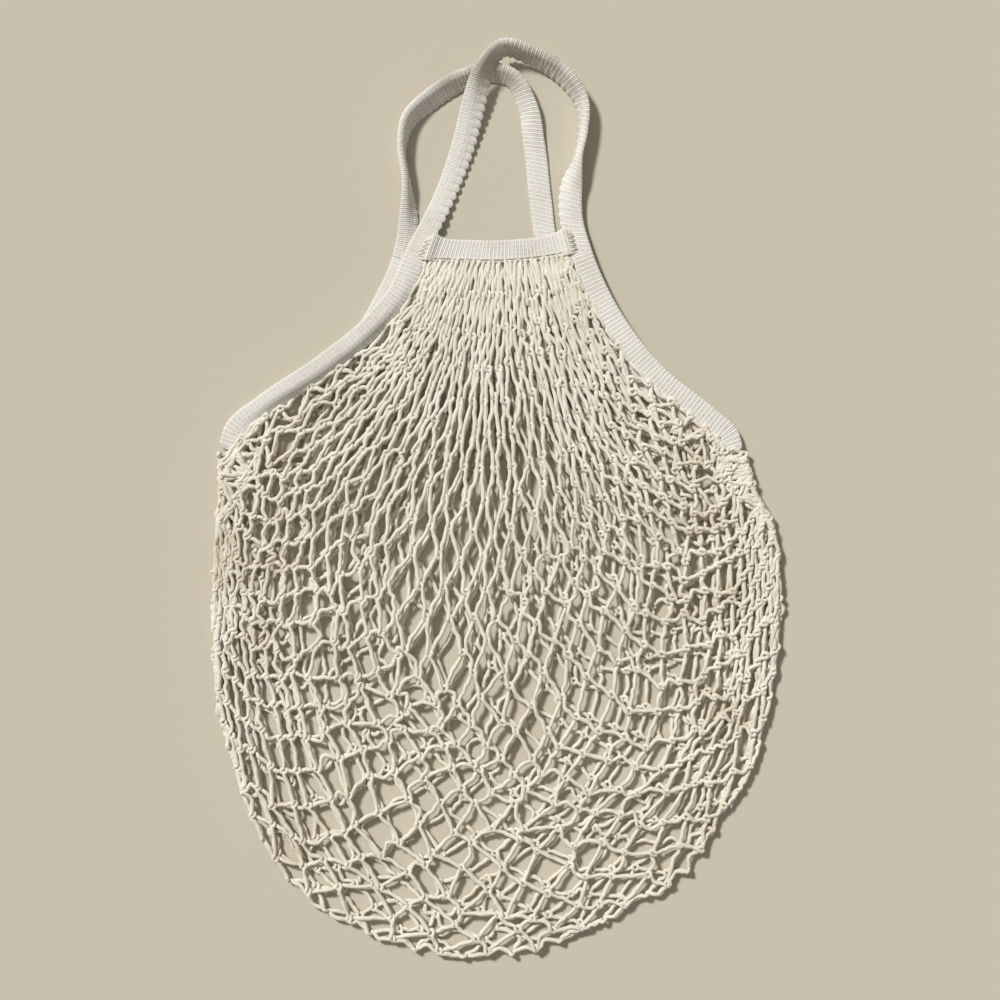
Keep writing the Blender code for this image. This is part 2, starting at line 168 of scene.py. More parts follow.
# Settings

def length_setting(name, description, default, **limits):
    return bpy.props.FloatProperty(
        name=name, description=description, default=default, unit="LENGTH", **limits)


def share_setting(name, description, default, **limits):
    return bpy.props.FloatProperty(
        name=name, description=description, default=default, min=0.0, **limits)


def count_setting(name, description, default, **limits):
    return bpy.props.IntProperty(
        name=name, description=description, default=default, **limits)


def colour_setting(name, description, default):
    return bpy.props.FloatVectorProperty(
        name=name, description=description, default=default, subtype="COLOR", size=3,
        min=0.0, max=1.0)


class YarnSettings(bpy.types.PropertyGroup):
    """Sizes of the net and its yarn."""

    diameter: length_setting("Yarn", "Diameter of the net's yarn", 0.0030, min=0.001)
    meshes_across: count_setting("Meshes across", "Net meshes along a heading", 28, min=4)
    rows_down: count_setting(
        "Half rows", "Half rows of net from a heading to the fold, odd", 29, min=3)
    bar: length_setting("Bar", "Yarn from one loop to the next", 0.0205)
    loop_height: length_setting(
        "Loop height", "From the middle of a joint to a loop's crown", 0.0020)
    loop_width: length_setting(
        "Loop width", "Half the width of an open loop at the joint", 0.0018)
    crossing: length_setting(
        "Crossing", "How far a loop passes above or below the other", 0.0009)
    drift: share_setting("Drift", "How far neighbouring joints stray together, in meshes", 0.17)
    stray: share_setting("Stray", "How far a single joint strays, in meshes", 0.11)
    even: share_setting(
        "Even", "How strongly a row's joints even out before they stray", 0.25, max=1.0)
    kink: length_setting("Kink", "How far the soft yarn bends to and fro by itself", 0.0004)
    uneven: share_setting(
        "Thick and thin", "How unevenly thick the yarn is, as a share", 0.10, max=0.3)
    sides: count_setting("Sides", "Faces round a yarn", 6, min=4)
    seed: count_setting("Seed", "Seed of the unevenness", 15)


class TapeSettings(bpy.types.PropertyGroup):
    """Sizes of the knitted tape."""

    thickness: length_setting("Thickness", "Thickness of the tape", 0.0018)
    heading_width: length_setting("Heading", "Width of the heading tape", 0.0136)
    rib_pitch: length_setting("Rib pitch", "From one rib across the tape to the next", 0.0028)
    heading_pitch: length_setting(
        "Heading pitch", "From one rib across the heading to the next", 0.0024)
    slant: length_setting("Slant", "How far the ribs lean along the legs on the right", 0.0024)
    rib_height: length_setting("Rib height", "Height of a rib", 0.00019)
    lobe_depth: length_setting(
        "Lobe depth", "How far the lobes of the inner edge stand out", 0.0013)
    fillet: length_setting(
        "Fillet", "How far a heading's upper edge rises to the handle's", 0.0026)
    thread: length_setting("Thread", "Diameter of the sewing thread", 0.0008)
    overlap: length_setting("Overlap", "How far a heading is sewn onto the side tape", 0.0045)


class FinishSettings(bpy.types.PropertyGroup):
    """Colours of the cottons and of the stage."""

    yarn: colour_setting("Yarn", "Undyed yarn", (0.86, 0.825, 0.73))
    # The yarn's darker tone in random patches, and painted shade in the grooves between its
    # plies.
    yarn_shade: colour_setting("Yarn shade", "The yarn where it is darker", (0.72, 0.66, 0.54))
    yarn_browner: colour_setting(
        "Yarn browner", "The yarn in browner patches towards the sides", (0.58, 0.45, 0.31))
    tape: colour_setting("Tape", "Undyed tape", (0.86, 0.845, 0.79))
    # Painted shade laid over the tops of the handles, in patches.
    tape_top_painted_shade: colour_setting(
        "Tape painted shade", "Painted shade over the tops of the handles", (0.48, 0.43, 0.35))
    # Painted shade between the tape's ribs, and the tape's own darker patches; also the thread's
    # lighter tone.
    tape_shade: colour_setting("Tape shade", "The tape between its ribs", (0.62, 0.59, 0.52))
    # Partly the thread's own colour, partly painted shade of the holes round its stitches.
    thread: colour_setting("Thread", "Sewing thread", (0.62, 0.57, 0.48))
    floor: colour_setting("Floor", "Pale floor", (0.60, 0.555, 0.46))


# Curves

def lengths_of(vectors):
    return np.linalg.norm(vectors, axis=1)


def steps_of(points):
    """The length of each step of a polyline."""
    return lengths_of(np.diff(points, axis=0))


def way_along(points):
    """How far along a polyline each of its points lies."""
    return np.concatenate(([0.0], np.cumsum(steps_of(points))))


def cubic(start, end, leaving, arriving, t):
    """The place at t, 0 to 1, on a smooth curve that leaves and arrives as given."""
    return (
        (2 * t**3 - 3 * t**2 + 1) * start + (t**3 - 2 * t**2 + t) * leaving
        + (3 * t**2 - 2 * t**3) * end + (t**3 - t**2) * arriving)


def smooth_curve(rows, plan=2):
    """A function of length along a smooth curve through the rows, and that curve's length.

    Length is measured in the first `plan` columns; every column is interpolated with it.
    """
    rows = np.asarray(rows, float)
    knots = way_along(rows[:, :plan])
    slopes = np.gradient(rows, knots, axis=0)

    def at(length):
        length = float(np.clip(length, 0.0, knots[-1]))
        i = min(int(np.searchsorted(knots, length, side="right")) - 1, len(knots) - 2)
        span = knots[i + 1] - knots[i]
        share = (length - knots[i]) / span
        return cubic(rows[i], rows[i + 1], span * slopes[i], span * slopes[i + 1], share)

    return at, knots[-1]


def share_of(points):
    """A function of the share, 0 to 1, of the way along a polyline."""
    points = np.asarray(points, float)
    along = way_along(points)

    def at(share):
        length = share * along[-1]
        return np.array([np.interp(length, along, column) for column in points.T])

    return at


def crowded(edge, stretch):
    """The same edge with its joints spread out at first and then crowded at its far end.

    The stretch is how many times the edge's length the joints would take up if all were spread.
    """
    def eased(share):
        way = share * stretch
        return way / (1.0 + way**4) ** 0.25

    return lambda share: edge(eased(share) / eased(1.0))


def rounded(points, steps):
    """A smooth curve through the points, with some steps between each two of them."""
    points = np.asarray(points, float)
    ways = np.gradient(points, axis=0)
    curve = [
        cubic(points[i], points[i + 1], ways[i], ways[i + 1], share)
        for i in range(len(points) - 1) for share in np.arange(steps) / steps]
    return np.array([*curve, points[-1]])


def unit(vector):
    length = np.linalg.norm(vector)
    return vector / length if length > 0 else vector


# The places of the tapes

class Tape:
    """A flat tape through the rows of a table, which can be rolled and curled."""

    THICKNESS = 2.0 * MM
    BEND = 0.4  # how wide the bend between face and rim is, as a share of half the width
    STEPS = 40  # in which the bend is worked out across the width

    def __init__(self, table, seam_y):
        self.at, self.length = smooth_curve(in_metres(table, kept=(3, 5, 6)))
        self.seams = {side: self.length_at_y(seam_y * MM, side) for side in SIDES}

    def row(self, length):
        return dict(zip(COLUMNS, self.at(length)))

    def left_of(self, length):
        """The unit vector to the tape's outer edge, in plan."""
        ahead = self.at(length + 0.5 * MM) - self.at(length - 0.5 * MM)
        along = unit(ahead[:2])
        return np.array([-along[1], along[0], 0.0])

    def end(self, side):
        return 0.0 if side < 0 else self.length

    def length_at_y(self, y, side):
        lengths = np.linspace(0.0, self.length, 1500)
        past = [length for length in lengths if self.at(length)[1] > y]
        return past[0] if side < 0 else past[-1]

    def inner_edge(self, start, end, margin):
        """Plan points along the tape's inner edge, moved inwards by the margin."""
        points = []
        for length in np.linspace(start, end, 60):
            edge = self.profile(length, (-1.0,))[0][0]
            points.append(edge[:2] - self.left_of(length)[:2] * margin)
        return np.array(points)

    def profile(self, length, shares):
        """The tape's middle surface from its inner to its outer edge, with its normals.

        The tape leans by its roll and its outer rim turns back over by its curl, while the whole
        keeps its place in plan and its lowest point.
        """
        row = self.row(length)
        outward = self.left_of(length)
        fine = np.linspace(-1.0, 1.0, self.STEPS + 1)
        turned = np.clip((fine - 1.0 + 2 * row["rim"]) / self.BEND + 0.5, 0.0, 1.0)
        turned = turned**2 * (3 - 2 * turned)
        angles = np.radians(row["roll"] - row["curl"] * turned)
        slope = np.stack((np.cos(angles), np.sin(angles)), axis=1) * row["width"] / 2
        travel = np.cumsum((slope[1:] + slope[:-1]) / 2 * (2 / self.STEPS), axis=0)
        travel = np.concatenate((np.zeros((1, 2)), travel))
        across = np.interp(shares, fine, travel[:, 0])
        rise = np.interp(shares, fine, travel[:, 1])
        turn = np.interp(shares, fine, angles)
        across -= (travel[:, 0].min() + travel[:, 0].max()) / 2
        rise += max(row["lift"], 0.0) + self.THICKNESS / 2 - travel[:, 1].min()
        middle = np.array([row["x"], row["y"], 0.0])
        points = middle + across[:, None] * outward + rise[:, None] * UP
        normals = np.cos(turn)[:, None] * UP - np.sin(turn)[:, None] * outward
        ways = np.cos(turn)[:, None] * outward + np.sin(turn)[:, None] * UP
        return points, normals, ways


class Layer:
    """One layer's side tape and heading, and the four edges that its net is stretched over."""

    SEAM_GAP = 0.3 * MM

    def __init__(self, table, heading, seam_y, heading_width):
        self.tape = Tape(table, seam_y)
        self.heading = in_metres(heading, kept=(0,))
        self.heading_width = heading_width
        leg = 1.5 * heading_width  # how far the edge reaches up the handle, past the heading
        self.edges = {
            side: self.tape.inner_edge(
                self.tape.seams[side] - side * leg, self.tape.end(side), self.SEAM_GAP)
            for side in SIDES
        }

    def heading_line(self, offset, overlap=0.0):
        """Plan points along the heading, offset from its middle, from side tape to side tape."""
        height, _ = smooth_curve(self.heading, plan=1)
        points = []
        for share in np.linspace(0.0, 1.0, 25):
            y = height(share)[1] + offset
            left, right = (x_at(self.edges[side], y) + side * overlap for side in SIDES)
            points.append(((1 - share) * left + share * right, y))
        return np.array(points)

    def net_edges(self, fold_points, net_length):
        """The four edges of this layer's net, each as a function of the share along it."""
        top = self.heading_line(-self.heading_width / 2 - self.SEAM_GAP)
        bound = []
        for side, end in zip(SIDES, (0, -1)):
            edge = np.vstack((part_below(self.edges[side], top[end][1]), fold_points[end]))
            bound.append(crowded(share_of(edge), net_length / steps_of(edge).sum()))
        return share_of(top), *bound, share_of(fold_points)


def x_at(edge, y):
    """Where an edge, whose points run downwards, crosses a height y."""
    return np.interp(y, edge[::-1, 1], edge[::-1, 0])


def part_below(edge, y):
    """The part of an edge, whose points run downwards, below a height y."""
    return np.vstack(([x_at(edge, y), y], edge[edge[:, 1] < y]))


def fold_line(tape, yarn):
    """Plan points along the net's fold, from one binding's turn to the other's."""
    margin = yarn / 2
    ends = {}
    for side in SIDES:
        length = tape.end(side)
        outward = tape.left_of(length)[:2]
        beyond = np.array([outward[1], -outward[0]]) * side
        row = tape.row(length)
        radius = row["lift"] / 2 + tape.THICKNESS / 2 + margin
        end = np.array([row["x"], row["y"]]) + beyond * radius
        half = row["width"] / 2
        ends[side] = end - outward * (half + margin), end + outward * half
    curve, length = smooth_curve(
        np.vstack((ends[-1][1], in_metres(FOLD_OUTLINE), ends[1][1])))
    outline = [curve(along) for along in np.linspace(0.0, length, 300)]
    return np.vstack((ends[-1][0], outline, ends[1][0]))


def frame_shift():
    """How far the tables' origin lies from the frame's, from the outline of the net's solid."""
    lowest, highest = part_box("net_pouch")
    outline = in_metres(FOLD_OUTLINE)
    left, right = outline[:, 0].min(), outline[:, 0].max()
    bottom = outline[:, 1].min() - SOLID_STRAND / 2
    return np.array([(lowest[0] + highest[0] - left - right) / 2, lowest[1] - bottom, 0.0])


# The net

class Net:
    """The joints of one net layer, and the path of the yarn of each of its courses."""

    MIDDLE = np.array([0.0, -60.0]) * MM  # the joints are kept inside the edges seen from here
    FOLD_TUCK = 0.012  # how far at most the joints held at the fold stay inside it, as a share
    CROWD = 1.12  # above 1, the rows crowd towards the fold
    ROUNDS = 12  # of settling the bars, before the joints stray and again after it
    PULL = 0.5  # how strongly a bar that is too long pulls its joints together
    PUSH = 0.12  # how strongly a bar that is too short pushes them apart before they stray
    EASE = 0.6  # the share of each round's moves that is made
    LONGEST_BARS = (1.0, 1.45)  # how long bars get where the yarn slips, in bars
    WAVES, WAVE_TURNS = 24, (3.2, 3.6)  # of the drift, with at most so many turns across and down
    SWELL_AT, SWELL_SPREAD = 0.32, 0.22  # where the net stands highest, in shares of the way down
    SEWN_ROWS = 1.5  # over how many rows the net comes down to the heading and to the fold
    ROUGH = 0.3 * MM  # how unevenly high the joints lie
    PACKED = 1 / 3  # of a bar, the room below which joints are packed together
    PILE = 1.6 * MM  # how high they then pile up on each other
    BOWS = (0.4 * MM, 2.0 * MM)  # how far a bar bows aside: always, and at most where it is slack
    SLACK_BOW = 0.3  # of the geometric mean of its slack and its length
    NEARBY = 0.03  # how far along an edge its direction is taken, as a share
    WIDTHS = (0.27, 0.55)  # a loop's half width: of the way past it, and of loop_width at least
    CROWNS = (0.15, 0.4)  # how far it reaches: of its mesh, and of loop_height at least
    CROWN_AT_FOLD, CROWN_AT_HEADING = 0.4, 0.2  # and of that
    HEADING_FALL = -1.2 * MM  # from a joint at the heading to its loop's crown
    # The five points of a loop: across it in half widths, out of the joint in crowns, up in
    # crossings, and the share of its fall at the heading or the fold.
    LOOP = ((-0.95, -0.6, 1.0, 0.0), (-0.85, 0.45, 0.6, 0.5), (0.0, 1.0, 0.0, 1.0),
            (0.85, 0.45, -0.6, 0.5), (0.95, -0.6, -1.0, 0.0))
    BAR = ((0.34, 0.7), (0.5, 1.0), (0.66, 0.7))  # its points' shares of its way and its bow
    KINK_STEP = 3.2 * MM
    TIGHT = 0.86  # the yarn's thickness where it is pulled tight in a loop

    def __init__(self, settings, edges, sizes, fold_height, rng):
        self.settings, self.edges, self.sizes = settings, edges, sizes
        self.fold_height, self.rng = fold_height, rng
        self.across, self.down = settings.meshes_across, settings.rows_down
        self.keys = [
            (row, place + 0.5 * (row % 2))
            for row in range(self.down + 1) for place in range(self.across + 1 - row % 2)
        ]
        self.number = {key: i for i, key in enumerate(self.keys)}
        self.bars = np.array([
            (self.number[key], self.number[joint])
            for key in self.keys for joint in self.next_to(key, 1)])
        rows, places = np.array(self.keys).T
        self.depth, self.share = rows / self.down, places / self.across
        on_rim = rows > self.down - sizes["rim_rows"]
        held = on_rim | (rows == 0) | (self.share == 0) | (self.share == 1)
        self.free = np.where(held, 0.0, 1.0)[:, None]
        self.places = self.stretched(on_rim)
        self.settle(settings.bar, self.PUSH, settings.even)
        self.places += self.unevenness()
        self.settle(settings.bar * rng.uniform(*self.LONGEST_BARS, len(self.bars)))
        self.heights = self.swell()
        room = np.linalg.norm(self.spans(), axis=2)
        narrow = room.min(axis=0) / settings.bar
        self.bows = self.random(1.0) * np.clip(narrow, 0.1, 1.0)
        crown, least = self.CROWNS[0] * room[1], self.CROWNS[1] * settings.loop_height
        self.crowns = np.clip(crown, least, settings.loop_height)
        packed = 1.0 - np.clip(narrow / self.PACKED, 0.0, 1.0)
        self.heights += packed * np.abs(self.random(self.PILE))

    def random(self, spread):
        """A random number for each joint."""
        return self.rng.normal(0.0, spread, len(self.keys))

    def next_to(self, key, step):
        """The joints a bar away in the row above, at step -1, or in the row below, at step 1."""
        row, place = key
        joints = ((row + step, place + half) for half in (-0.5, 0.5))
        return [joint for joint in joints if joint in self.number]

    def stretched(self, on_rim):
        """Every joint's place in a net drawn evenly between its edges."""
        top, left, right, fold = self.edges
        places = []
        for a, b, rim in zip(self.share, self.depth, on_rim):
            if rim and 0 < a < 1:
                inwards = 1.0 - self.rng.uniform(0.0, self.FOLD_TUCK) * (b < 1)
                places.append(self.MIDDLE + (fold(a) - self.MIDDLE) * inwards)
                continue
            c = 1.0 - (1.0 - b) ** self.CROWD
            crossed = (
                (1 - a) * (1 - c) * top(0) + a * (1 - c) * top(1)
                + (1 - a) * c * fold(0) + a * c * fold(1))
            places.append(
                (1 - c) * top(a) + c * fold(a) + (1 - a) * left(b) + a * right(b) - crossed)
        return np.array(places)

    def settle(self, bar, push=0.0, even=0.0):
        """Lets the bars settle towards one length or one each, and evens each row out."""
        rim = self.boundary()
        half = 0.5 / self.across
        inner = np.nonzero((self.share > half) & (self.share < 1 - half))[0]
        start, end = self.bars.T
        for _ in range(self.ROUNDS):
            reach = self.places[end] - self.places[start]
            length = lengths_of(reach) + 1e-9
            excess = length - bar
            pull = reach * (excess * np.where(excess > 0, self.PULL, push) / length)[:, None]
            moves = np.zeros_like(self.places)
            np.add.at(moves, start, pull)
            np.add.at(moves, end, -pull)
            moves *= self.EASE
            before, after = self.places[inner - 1], self.places[inner + 1]
            way = after - before
            way /= lengths_of(way)[:, None] + 1e-9
            uneven = np.sum(((before + after) / 2 - self.places[inner]) * way, axis=1)
            moves[inner] += even * uneven[:, None] * way
            away = self.places + self.free * moves - self.MIDDLE
            limit = np.interp(np.arctan2(away[:, 1], away[:, 0]), *rim, period=2 * math.pi)
            over = np.maximum(lengths_of(away) / limit, 1.0)
            self.places = self.MIDDLE + away / over[:, None]

    def boundary(self):
        """How far the net reaches from its middle, by direction, as angles and distances."""
        shares = np.linspace(0.0, 1.0, 80)
        rim = np.array([edge(share) for edge in self.edges for share in shares]) - self.MIDDLE
        angles = np.arctan2(rim[:, 1], rim[:, 0])
        order = np.argsort(angles)
        return angles[order], lengths_of(rim)[order]

    def swell(self):
        """The height of every joint: a low hill, down to the heading and to the fold."""
        hill = np.exp(-((self.depth - self.SWELL_AT) / self.SWELL_SPREAD) ** 2)
        hill *= np.sqrt(4 * self.share * (1 - self.share))
        heights = self.sizes["height"] + self.sizes["swell"] * hill
        heights += self.random(self.ROUGH)
        ends = (self.depth, self.sizes["sewn"]), (1.0 - self.depth, self.fold_height)
        for depth, height in ends:
            near = np.clip(1.0 - depth * self.down / self.SEWN_ROWS, 0.0, 1.0)
            heights += (height - heights) * near
        return heights

    def spans(self):
        """The way from joint to joint at every joint, along its row and down its wale."""
        spans = np.zeros((2, len(self.keys), 2))
        for way, (down, across) in enumerate(((0, 1), (2, 0))):
            for i, (row, place) in enumerate(self.keys):
                after = self.number.get((row + down, place + across), i)
                before = self.number.get((row - down, place - across), i)
                steps = (after != i) + (before != i)
                spans[way, i] = (self.places[after] - self.places[before]) / steps
        return spans

    def unevenness(self):
        """How far each joint strays: a slow drift that neighbours share, and a little alone.

        Both are shares of the mesh's own width and height, so that narrow meshes stay narrow.
        """
        rng = self.rng
        moved = np.zeros((len(self.keys), 2))
        for span in self.spans():
            drift = np.zeros(len(self.keys))
            for _ in range(self.WAVES):
                wave = rng.uniform(-1.0, 1.0, 2) * self.WAVE_TURNS
                phase = rng.uniform(0, 2 * math.pi)
                turns = self.share * wave[0] + self.depth * wave[1]
                drift += np.sin(2 * math.pi * turns + phase) / math.sqrt(self.WAVES / 2)
            stray = self.random(1.0)
            share = drift * self.settings.drift + stray * self.settings.stray
            moved += share[:, None] * span
        return self.free * moved

    def point(self, key):
        return self.places[self.number[key]]

    def downwards(self, key):
        """The unit vector along the wales at a joint, away from the heading."""
        above, below = (
            [self.point(joint) for joint in self.next_to(key, step)] or [self.point(key)]
            for step in (-1, 1))
        return unit(np.mean(below, axis=0) - np.mean(above, axis=0))

    def outward(self, key):
        """The unit vector from a joint on a binding across the binding."""
        side, edge = (-1, self.edges[1]) if key[1] == 0 else (1, self.edges[2])
        share = key[0] / self.down
        way = unit(edge(min(share + self.NEARBY, 1.0)) - edge(max(share - self.NEARBY, 0.0)))
        normal = np.array([way[1], -way[0]])
        return normal if normal[0] * side > 0 else -normal

    def yarn(self, row):
        """The path of one course's yarn, looped through its neighbours at every joint."""
        first = 0.5 * (row % 2)
        upper = [(row, first + k) for k in range(self.across + 1 - row % 2)]
        lower = [(row + 1, 0.5 - first + k) for k in range(self.across + row % 2)]
        joints = sorted(upper + lower, key=lambda key: key[1])
        tuck, tuck_height = self.sizes["tuck"], self.sizes["tuck_height"]
        path = []
        for k, key in enumerate(joints):
            here, height = self.point(key), self.heights[self.number[key]]
            if k in (0, len(joints) - 1):
                ends = [
                    (*(here + self.outward(key) * tuck), tuck_height, self.TIGHT),
                    (*here, (height + tuck_height) / 2, self.TIGHT),
                ]
                path += ends if k == 0 else ends[::-1]
            else:
                path += self.loop(joints[k - 1], key, joints[k + 1], row, height)
            if k + 1 < len(joints):
                path += self.bar_points(key, joints[k + 1])
        return self.kinked(rounded(path, 2))

    def loop(self, before, key, after, row, height):
        """Five points of the loop that a course makes at one joint."""
        sizes = self.settings
        here = self.point(key)
        reach = self.point(after) - self.point(before)
        beside = unit(reach)
        way = 1 if key[0] == row + 1 else -1  # whether the loop hangs down or stands up
        out = self.downwards(key) * way
        out = unit(out - beside * np.dot(out, beside))
        width, least = self.WIDTHS[0] * np.linalg.norm(reach), self.WIDTHS[1] * sizes.loop_width
        half = float(np.clip(width, least, sizes.loop_width))
        crown, fall = self.crowns[self.number[key]], 0.0
        lift = sizes.crossing * way
        if key[0] == self.down:
            crown, fall = self.CROWN_AT_FOLD * crown, self.fold_height - self.sizes["height"]
        elif key[0] == 0:
            crown, fall = self.CROWN_AT_HEADING * crown, self.HEADING_FALL
        return [
            (*(here + beside * half * side + out * crown * rise),
             height + (up * lift + share * fall), self.TIGHT)
            for side, rise, up, share in self.LOOP
        ]

    def bar_points(self, key, after):
        """Three points of the bar between two joints, bowed sideways where the bar is slack."""
        start, end = self.point(key), self.point(after)
        low, high = (self.heights[self.number[joint]] for joint in (key, after))
        reach = end - start
        length = np.linalg.norm(reach)
        slack = max(0.0, self.settings.bar - length)
        bow = self.BOWS[0] + min(self.SLACK_BOW * math.sqrt(slack * length), self.BOWS[1])
        beside = unit(np.array([-reach[1], reach[0]])) * self.bows[self.number[key]] * bow
        return [
            (*(start + share * reach + swing * beside), low + share * (high - low), 1.0)
            for share, swing in self.BAR
        ]

    def kinked(self, path):
        """The same path, on the table, with the small bends and uneven thickness of soft yarn."""
        along = way_along(path[:, :3])
        knots = np.arange(0.0, along[-1] + self.KINK_STEP, self.KINK_STEP)
        kink, uneven = self.settings.kink, self.settings.uneven
        for k, size in enumerate((kink, kink, 0.5 * kink, uneven)):
            path[:, k] += np.interp(along, knots, self.rng.normal(0.0, size, len(knots)))
        path[:, 3] = np.clip(path[:, 3], 1.0 - 2 * uneven - 0.1, 1.0 + 1.5 * uneven)
        path[:, 2] = np.maximum(path[:, 2], path[:, 3] * self.settings.diameter / 2)
        return path


# Node trees

class Output:
    """What a node puts out; reckoning with it adds Math nodes to its tree."""

    def __init__(self, node, key=0):
        self.socket = node.outputs[key]

    def __add__(self, other):
        return maths("ADD", self, other)

    def __sub__(self, other):
        return maths("SUBTRACT", self, other)

    def __rsub__(self, other):
        return maths("SUBTRACT", other, self)

    def __mul__(self, other):
        return maths("MULTIPLY", self, other)

    def __truediv__(self, other):
        return maths("DIVIDE", self, other)


def add_node(tree, kind, inputs=None, output=0, **settings):
    """Adds a node, whose inputs are values or other nodes' outputs, and returns its output."""
    node = tree.nodes.new(kind)
    for name, value in settings.items():
        setattr(node, name, value)
    for key, value in (inputs or {}).items():
        if isinstance(value, Output):
            tree.links.new(value.socket, node.inputs[key])
        else:
            node.inputs[key].default_value = value
    return Output(node, output)


def maths(operation, *values):
    """What a Math node makes of values, at least one of which is a node's output."""
    tree = next(value.socket.id_data for value in values if isinstance(value, Output))
    return add_node(tree, "ShaderNodeMath", dict(enumerate(values)), operation=operation)


def vector_maths(operation, *values, **named):
    inputs = {**dict(enumerate(values)), **named}
    tree = values[0].socket.id_data
    return add_node(tree, "ShaderNodeVectorMath", inputs, operation=operation)


def axes(tree, vector):
    """The x, y and z of a vector."""
    node = add_node(tree, "ShaderNodeSeparateXYZ", {0: vector}).socket.node
    return [Output(node, k) for k in range(3)]


def ramp(value, low, high):
    """The value's way from low to high, as 0 to 1."""
    return add_node(
        value.socket.id_data, "ShaderNodeMapRange",
        {"Value": value, "From Min": low, "From Max": high}, interpolation_type="SMOOTHSTEP")


def geometry_tree(name, inputs):
    """A geometry node tree with named inputs besides its geometry; returns it and them."""
    tree = bpy.data.node_groups.new(name, "GeometryNodeTree")
    for label, kind in (("Geometry", "Geometry"), *inputs):
        tree.interface.new_socket(label, in_out="INPUT", socket_type="NodeSocket" + kind)
    tree.interface.new_socket("Geometry", in_out="OUTPUT", socket_type="NodeSocketGeometry")
    start = tree.nodes.new("NodeGroupInput")
    return tree, {socket.name: Output(start, k) for k, socket in enumerate(start.outputs)}


def finish_tree(tree, geometry, material):
    """Ends a tree: smooth faces, the material and real geometry."""
    smooth = add_node(tree, "GeometryNodeSetShadeSmooth", {"Geometry": geometry})
    real = add_node(tree, "GeometryNodeRealizeInstances", {"Geometry": smooth})
    painted = add_node(
        tree, "GeometryNodeSetMaterial", {"Geometry": real, "Material": material})
    tree.links.new(painted.socket, tree.nodes.new("NodeGroupOutput").inputs[0])
    return tree


def yarn_tree():
    """Sweeps a round yarn along curves, and keeps the length and the side of the yarn."""
    tree, given = geometry_tree(
        "yarn_sweep", (("Diameter", "Float"), ("Sides", "Int"), ("Material", "Material")))

    def stored(geometry, name, value, kind):
        return add_node(
            tree, "GeometryNodeStoreNamedAttribute",
            {"Geometry": geometry, "Name": name, "Value": value}, data_type=kind, domain="POINT")

    along = add_node(tree, "GeometryNodeSplineParameter", output="Length")
    circle = add_node(
        tree, "GeometryNodeCurvePrimitiveCircle",
        {"Resolution": given["Sides"], "Radius": given["Diameter"] * 0.5})
    way = vector_maths("NORMALIZE", add_node(tree, "GeometryNodeInputPosition"))
    swept = add_node(tree, "GeometryNodeCurveToMesh", {
        "Curve": stored(given["Geometry"], "yarn_along", along, "FLOAT"),
        "Profile Curve": stored(circle, "yarn_side", way, "FLOAT_VECTOR"),
        "Scale": add_node(tree, "GeometryNodeInputRadius"),
        "Fill Caps": True})
    return finish_tree(tree, swept, given["Material"])


LOBED = (0.1, -0.75)  # the lobes come in between these shares across a tape
LOBE_MIDDLE = 0.6  # the share of a lobe's height that lies inside the tape's plain edge
RIBS_LOST = 0.8  # how much of the ribs' height the lobes take away
LOBE_RISE = 0.55  # how far the lobes swell out of the tape's faces, of how far they stand out


def rib_tree():
    """Raises the cross ribs and the edge lobes of a tape's skin.

    The skin holds tape_place: length along the tape, share across it from -1 at its inner
    edge to 1, and how strong its lobes are; and tape_across: the way to its outer edge.
    A lobe takes in two ribs, and the ribs fade where the lobes are.
    """
    tree, given = geometry_tree("tape_ribs", (
        ("Rib pitch", "Float"), ("Rib height", "Float"), ("Lobe depth", "Float"),
        ("Material", "Material")))

    def stored(name):
        return add_node(
            tree, "GeometryNodeInputNamedAttribute", {"Name": name}, "Attribute",
            data_type="FLOAT_VECTOR")

    length, across, strength = axes(tree, stored("tape_place"))
    turns = length / given["Rib pitch"]
    rib = maths("COSINE", turns * (2 * math.pi)) * 0.5 * given["Rib height"]
    lobe = maths("ABSOLUTE", maths("SINE", turns * (math.pi / 2))) - LOBE_MIDDLE
    chunky = ramp(across, *LOBED) * strength
    reach = lobe * chunky * given["Lobe depth"]
    swell = rib * (1.0 - chunky * RIBS_LOST) + reach * LOBE_RISE
    normal = add_node(tree, "GeometryNodeInputNormal")
    moved = add_node(tree, "GeometryNodeSetPosition", {
        "Geometry": given["Geometry"],
        "Offset": vector_maths(
            "ADD", vector_maths("SCALE", normal, Scale=swell),
            vector_maths("SCALE", stored("tape_across"), Scale=reach * -1.0))})
    return finish_tree(tree, moved, given["Material"])


def scene_object(name, data):
    """An object of that data in the scene."""
    made = bpy.data.objects.new(name, data)
    bpy.context.scene.collection.objects.link(made)
    return made


TREES = {"yarn_sweep": yarn_tree, "tape_ribs": rib_tree}


def run_tree(host, tree_name, values):
    """The plain mesh object that a tree makes of a host object, under the host's name."""
    name = host.name
    tree = bpy.data.node_groups.get(tree_name) or TREES[tree_name]()
    modifier = host.modifiers.new(tree_name, "NODES")
    modifier.node_group = tree
    for item in tree.interface.items_tree:
        if item.in_out == "INPUT" and item.name in values:
            modifier[item.identifier] = values[item.name]
    bpy.context.view_layer.update()
    evaluated = host.evaluated_get(bpy.context.evaluated_depsgraph_get())
    mesh = bpy.data.meshes.new_from_object(evaluated)
    mesh.name = name
    bpy.data.objects.remove(host, do_unlink=True)
    return scene_object(name, mesh)


# Finishes

PLY_TURN = 3.2 * MM  # along which the plies of the yarn go round once
BROWNER_SPAN = (90.0 * MM, 150.0 * MM)  # the browner patches come in between these distances to the side
TOP_SHADE_DEPTHS = (55.0 * MM, 18.0 * MM)  # painted shade darkens the handles between these depths below their top


def cotton(name, roughness):
    """A matt cotton, with its colour left to be linked; returns it and its tree."""
    made = bpy.data.materials.new(name)
    made.use_nodes = True
    shader = made.node_tree.nodes["Principled BSDF"]
    for label, value in (
            ("Roughness", roughness), ("Specular IOR Level", 0.15), ("Sheen Weight", 0.25),
            ("Sheen Roughness", 0.6)):
        shader.inputs[label].default_value = value
    return made, made.node_tree


